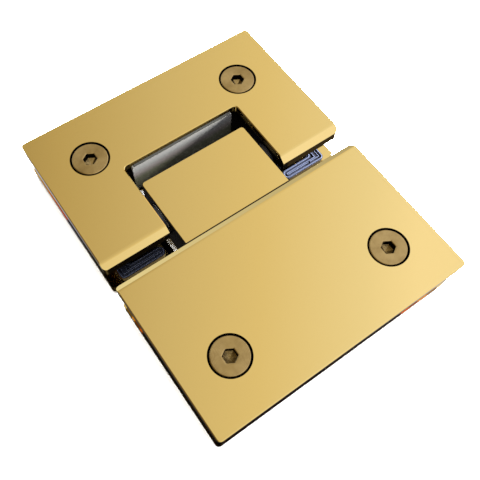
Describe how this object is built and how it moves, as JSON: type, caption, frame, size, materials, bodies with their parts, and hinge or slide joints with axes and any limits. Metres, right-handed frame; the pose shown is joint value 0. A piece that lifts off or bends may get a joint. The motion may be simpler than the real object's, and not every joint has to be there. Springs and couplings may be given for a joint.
{
  "type": "glass door hinge",
  "caption": "Square-edged clamp hinge for a glass door: two bright plates clamp each pane between soft gaskets, and a sprung knuckle turns on a hidden pin.",
  "frame": {"origin": "under the middle of the outline, in the plane of the back plates' outer faces", "axes": "+X along the hinge pin, +Y from the door leaf to the fixed leaf, +Z from the back plates to the front plates"},
  "size_m": [0.09, 0.112, 0.018],
  "materials": {
    "gold_plate": "mirror polished, gold coated",
    "gold_knuckle": "polished gold faces, satin grey sides",
    "bronze_screw": "turned, matte bronze",
    "dark_steel": "dark, as machined",
    "bright_steel": "ground",
    "black_steel": "black oxide",
    "black_plastic": "matte",
    "bearing_plastic": "matte",
    "clear_gasket": "glossy, translucent",
    "grey_strip": "soft, matte"
  },
  "bodies": {
    "fixed_leaf": {"fixed_front_plate": "gold_plate", "fixed_back_plate": "gold_plate", "fixed_core": "dark_steel", "fixed_front_gasket": "clear_gasket", "fixed_back_gasket": "clear_gasket", "cutout_strip": "grey_strip", "pivot_pin": "bright_steel", "pin_lock_left": "black_steel", "pin_lock_right": "black_steel", "thrust_washer_left": "black_plastic", "thrust_washer_right": "black_plastic", "fixed_screw_left": "bronze_screw", "fixed_screw_right": "bronze_screw", "fixed_core_screw_left": "black_steel", "fixed_core_screw_right": "black_steel"},
    "door_leaf": {"door_front_plate": "gold_plate", "door_back_plate": "gold_plate", "knuckle": "gold_knuckle", "door_front_gasket": "clear_gasket", "door_back_gasket": "clear_gasket", "door_screw_left": "bronze_screw", "door_screw_right": "bronze_screw", "door_core_screw_left": "black_steel", "door_core_screw_right": "black_steel", "bush_left": "bearing_plastic", "bush_right": "bearing_plastic", "detent_spring_left": "bright_steel", "detent_spring_right": "bright_steel", "detent_adjuster_left": "black_steel", "detent_adjuster_right": "black_steel"},
    "left_plunger": {"detent_plunger_left": "bright_steel"},
    "right_plunger": {"detent_plunger_right": "bright_steel"}
  },
  "joints": [
    {"name": "door_swing", "type": "hinge", "parent": "fixed_leaf", "child": "door_leaf", "pos_m": [0, 0.0122, 0.009], "axis": [1, 0, 0], "range_deg": [-90, 90]},
    {"name": "left_plunger_slide", "type": "slide", "parent": "door_leaf", "child": "left_plunger", "axis": [0, 1, 0], "range_m": [0, 0.0006], "stiffness_N_per_m": 200, "springref_m": 0.003, "deforming": ["detent_spring_left"]},
    {"name": "right_plunger_slide", "type": "slide", "parent": "door_leaf", "child": "right_plunger", "axis": [0, 1, 0], "range_m": [0, 0.0006], "stiffness_N_per_m": 200, "springref_m": 0.003, "deforming": ["detent_spring_right"]}
  ]
}
